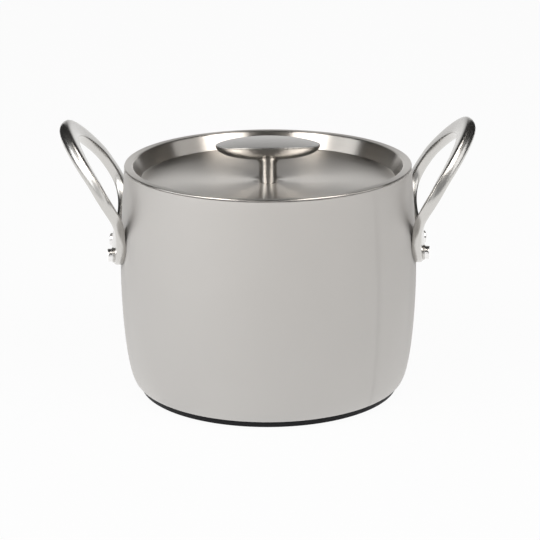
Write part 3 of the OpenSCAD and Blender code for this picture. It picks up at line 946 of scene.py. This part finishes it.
# %% Lay the paper
PAPER_TONE, PAPER_GLOW, MIRRORED_GLOW = 0.95, 0.94, 1.25
FLOOR_HALF = 4.0
paper = bpy.data.materials.new("paper")
paper.use_nodes = True
paper.node_tree.nodes.remove(paper.node_tree.nodes["Principled BSDF"])
matt = node(paper.node_tree, "ShaderNodeBsdfDiffuse", {"Color": (PAPER_TONE, PAPER_TONE, PAPER_TONE, 1)})
mirrored = node(paper.node_tree, "ShaderNodeLightPath").outputs["Is Glossy Ray"]
glow_level = span(paper.node_tree, mirrored, 0, 1, 1, MIRRORED_GLOW)
glow = node(paper.node_tree, "ShaderNodeEmission", {"Strength": glow_level})
share = maths(paper.node_tree, "MULTIPLY", looked_at(paper.node_tree), PAPER_GLOW)
sheet = node(paper.node_tree, "ShaderNodeMixShader", {"Fac": share, 1: matt.outputs[0], 2: glow.outputs[0]})
paper.node_tree.links.new(sheet.outputs[0], paper.node_tree.nodes["Material Output"].inputs["Surface"])
corners = [(-FLOOR_HALF, -FLOOR_HALF, 0), (FLOOR_HALF, -FLOOR_HALF, 0), (FLOOR_HALF, FLOOR_HALF, 0),
           (-FLOOR_HALF, FLOOR_HALF, 0)]
floor = new_piece("floor", corners, faces=[(0, 1, 2, 3)])
floor.data.materials.append(paper)
print("floor", 2 * FLOOR_HALF, "m wide")

# %% [markdown]
# The cards stand on a dome round the object, each between two azimuths and two elevations. Azimuth 0 is the
# camera's side. They are seen only by shiny surfaces, and neither throw shadows nor come into the picture.
# Cycles can aim rays at glowing meshes to cut noise. For the wide dim cards this made a streak on the wall
# stronger, so only the cards above a set level, the banks and the left panel, are aimed at. Mirrored rays
# find the others by themselves.

# %% Cards
CARD_R = 1.0
CARD_STEP = 6
AIMED_LEVEL = 2.0
middle_z = 0.13


def direction(azimuth, elevation):
    a, e = math.radians(azimuth), math.radians(elevation)
    return Vector((math.sin(a) * math.cos(e), -math.cos(a) * math.cos(e), math.sin(e)))


def card(name, across, up, tone, place=direction, tint=(1, 1, 1)):
    """Curved card of one tone, between two angles across and two angles up."""
    columns = max(2, int((across[1] - across[0]) / CARD_STEP) + 1)
    rows = max(2, int((up[1] - up[0]) / CARD_STEP) + 1)
    points = [place(a, b) * CARD_R + Vector((0, 0, middle_z))
              for b in np.linspace(*up, rows) for a in np.linspace(*across, columns)]
    faces = [(i * columns + k, i * columns + k + 1, (i + 1) * columns + k + 1, (i + 1) * columns + k)
             for i in range(rows - 1) for k in range(columns - 1)]
    made = new_piece(name, points, faces=faces)
    face = bpy.data.materials.new(name)
    face.use_nodes = True
    face.node_tree.nodes.remove(face.node_tree.nodes["Principled BSDF"])
    shine = node(face.node_tree, "ShaderNodeEmission", {"Color": (*tint, 1), "Strength": tone})
    face.node_tree.links.new(shine.outputs[0], face.node_tree.nodes["Material Output"].inputs["Surface"])
    made.data.materials.append(face)
    face.cycles.emission_sampling = "AUTO" if tone > AIMED_LEVEL else "NONE"
    made.visible_camera = False
    made.visible_diffuse = False
    made.visible_shadow = False


LOW, TOP = -7, 88
LENS_TOP, SIDE_TOP = 22, 40
GAP, FRONT_LEFT, FRONT_RIGHT, SIDE, REAR = 6, -24, 19, 91, 152
BEHIND = (REAR, 360 - REAR)
card("card_left", (-REAR, -SIDE), (LOW, TOP), tone=0.03)
card("card_right", (SIDE, REAR), (LOW, TOP), tone=0.03)
card("card_behind_low", BEHIND, (7, 15), tone=0.8)
card("card_behind", BEHIND, (15, 24), tone=0.65)
card("card_behind_high", BEHIND, (24, 36), tone=0.35)
card("card_behind_top", BEHIND, (36, TOP), tone=0.05)
card("card_low_left", (-SIDE, FRONT_LEFT), (LOW, SIDE_TOP), tone=0.78)
card("card_low_right", (FRONT_RIGHT, SIDE), (LOW, SIDE_TOP), tone=0.36)
card("card_over_camera", (FRONT_LEFT, FRONT_RIGHT), (LENS_TOP, TOP), tone=0.05)
card("card_front_left", (FRONT_LEFT, -GAP), (LOW, LENS_TOP), tone=1.3)
card("card_front_gap", (-GAP, GAP), (LOW, LENS_TOP), tone=0.05)
card("card_front_right", (GAP, FRONT_RIGHT), (LOW, LENS_TOP), tone=0.9)
card("card_top_left", (-SIDE, FRONT_LEFT), (SIDE_TOP, TOP), tone=0.04)
card("card_top_right", (FRONT_RIGHT, SIDE), (SIDE_TOP, TOP), tone=0.04)
print("cards ready")

# %% [markdown]
# Two long soft banks hang in front, one on either side, with the camera's dark gap between them. Each bank
# is a strip that runs from the gap to the side, level with the ground, so it is placed by its reach to the
# side and its slope up from the front. Its far end is shorter, which ends the bright patches on the lid in
# a step. A low panel on either side puts the light edges on the handles and lifts the pot's left side. The
# banks are a little warm and the left panel is a little cool.

# %% Banks and panels
BANK_LEVEL, PANEL_LEVEL = 6.2, 2.4
RIGHT_BANK_SHARE, LEFT_PANEL_SHARE, RIGHT_PANEL_SHARE = 0.85, 1.45, 0.7
WARM, COOL = (1, 0.965, 0.93), (0.97, 0.985, 1)
PANEL_NEAR, BANK_NEAR = 0.99, 0.98


def panel_direction(azimuth, elevation):
    return direction(azimuth, elevation) * PANEL_NEAR


def bank_direction(reach, slope):
    r, s = math.radians(reach), math.radians(slope)
    return Vector((math.sin(r), -math.cos(r) * math.cos(s), math.cos(r) * math.sin(s))) * BANK_NEAR


card("bank_left", (-34, -20), (34, 82), BANK_LEVEL, bank_direction, WARM)
card("bank_left_end", (-49, -34), (34, 60), BANK_LEVEL, bank_direction, WARM)
card("bank_right", (16, 34), (40, 88), RIGHT_BANK_SHARE * BANK_LEVEL, bank_direction, WARM)
card("bank_right_end", (34, 52), (40, 66), RIGHT_BANK_SHARE * BANK_LEVEL, bank_direction, WARM)
card("panel_left", (-93, -52), (5, 24), LEFT_PANEL_SHARE * PANEL_LEVEL, panel_direction, COOL)
card("panel_right", (66, 96), (0, 24), RIGHT_PANEL_SHARE * PANEL_LEVEL, panel_direction)
print("two banks and two panels ready")

# %% [markdown]
# The cards give the reflections. Lamps light what isn't shiny, the paper above all, and they are hidden
# from shiny surfaces, so that the reflections stay as they are.

# %% Lamps
LAMP_SIZE = (1.0, 0.8)
LAMP_FAR = 1.3


def lamp(name, azimuth, elevation, level):
    """Area lamp that faces the object and shows in no surface."""
    light = bpy.data.lights.new(name, "AREA")
    light.shape = "RECTANGLE"
    light.size, light.size_y = LAMP_SIZE
    light.energy = level * math.pi * LAMP_SIZE[0] * LAMP_SIZE[1]
    made = bpy.data.objects.new(name, light)
    bpy.context.scene.collection.objects.link(made)
    out = direction(azimuth, elevation)
    facing = out.to_track_quat("Z", "Y").to_matrix().to_4x4()
    made.matrix_world = Matrix.Translation(out * LAMP_FAR + Vector((0, 0, middle_z))) @ facing
    made.visible_camera = False
    made.visible_glossy = False


lamp("lamp_left", azimuth=-55, elevation=38, level=2.0)
lamp("lamp_right", azimuth=52, elevation=38, level=2.0)
print("lamps ready")

# %% [markdown]
# ## Finish

# %% Finish
print("scene done")
